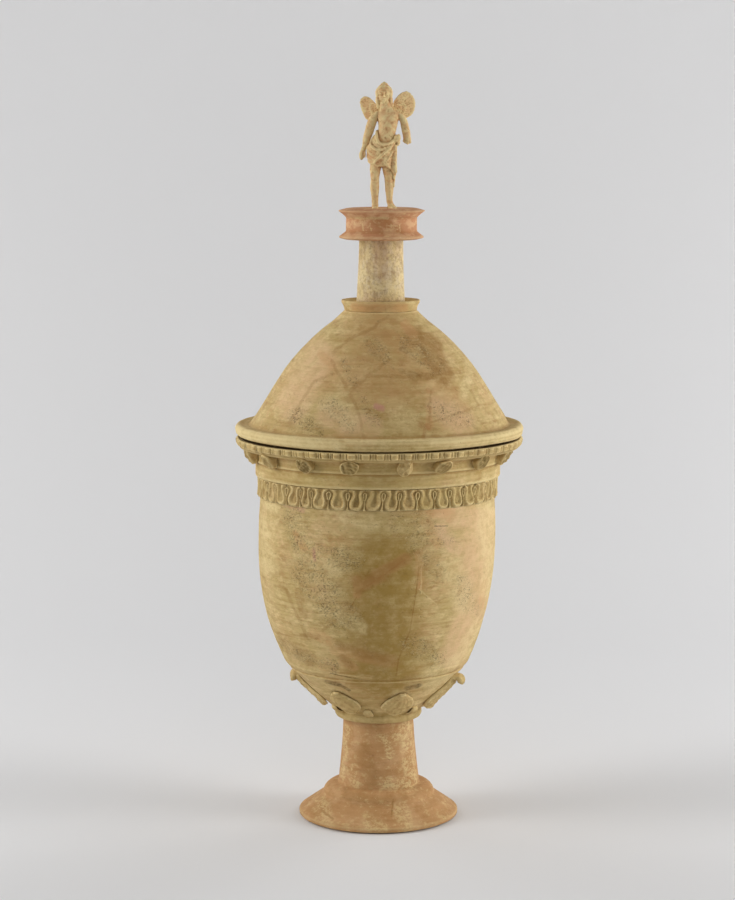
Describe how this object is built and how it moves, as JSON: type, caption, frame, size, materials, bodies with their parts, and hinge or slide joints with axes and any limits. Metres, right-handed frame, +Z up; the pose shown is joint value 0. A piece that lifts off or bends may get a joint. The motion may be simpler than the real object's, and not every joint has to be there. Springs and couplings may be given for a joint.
{
  "type": "lidded urn",
  "caption": "Tall urn of fired clay on a trumpet foot, with moulded friezes and applied leaves, a loose domed lid and a loose finial of a column, a spool and a winged youth.",
  "frame": {"origin": "the middle of the face under the foot, on the floor, on the axis of the turned pieces", "axes": "+Z up along the axis of the turned pieces, the front that the figure faces is -Y, and +X is on a viewer's right"},
  "size_m": [0.3514, 0.3514, 0.8981],
  "materials": {
    "cream_slip": "worn cream-buff slip over orange clay, matt",
    "applied_slip": "pale slip on mould-made and modelled trim, matt, darker in the hollows",
    "foot_clay": "bare orange-brown fired clay with cream smears, matt",
    "column_slip": "greyish cream slip with streaks, matt",
    "red_clay": "reddish orange-brown fired clay, pale at the edges, matt",
    "figure_clay": "pale orange fired clay with traces of slip, matt"
  },
  "bodies": {
    "vessel": {"foot": "foot_clay", "base_ring": "cream_slip", "bowl": "cream_slip", "tongue_frieze": "applied_slip", "egg_frieze": "applied_slip", "boss_01": "applied_slip", "boss_02": "applied_slip", "boss_03": "applied_slip", "boss_04": "applied_slip", "boss_05": "applied_slip", "boss_06": "applied_slip", "boss_07": "applied_slip", "boss_08": "applied_slip", "boss_09": "applied_slip", "boss_10": "applied_slip", "boss_11": "applied_slip", "boss_12": "applied_slip", "boss_13": "applied_slip", "boss_14": "applied_slip", "boss_15": "applied_slip", "boss_16": "applied_slip", "boss_17": "applied_slip", "leaf_01": "applied_slip", "leaf_02": "applied_slip", "leaf_03": "applied_slip", "leaf_04": "applied_slip", "leaf_05": "applied_slip", "leaf_06": "applied_slip", "leaf_07": "applied_slip", "sepal_01": "applied_slip", "sepal_02": "applied_slip", "sepal_03": "applied_slip", "sepal_04": "applied_slip", "sepal_05": "applied_slip", "sepal_06": "applied_slip", "sepal_07": "applied_slip"},
    "lid": {"lid": "cream_slip", "lid_locator": "cream_slip", "lid_collar": "cream_slip"},
    "finial": {"column": "column_slip", "spool": "red_clay", "youth_body": "figure_clay", "youth_head": "figure_clay", "youth_left_arm": "figure_clay", "youth_right_arm": "figure_clay", "youth_mantle": "figure_clay", "youth_left_wing": "figure_clay", "youth_right_wing": "figure_clay"}
  },
  "joints": [
    {"name": "lid_lift", "type": "slide", "parent": "vessel", "child": "lid", "axis": [0, 0, 1], "range_m": [0, 0.3]},
    {"name": "finial_lift", "type": "slide", "parent": "lid", "child": "finial", "axis": [0, 0, 1], "range_m": [0, 0.08]}
  ]
}
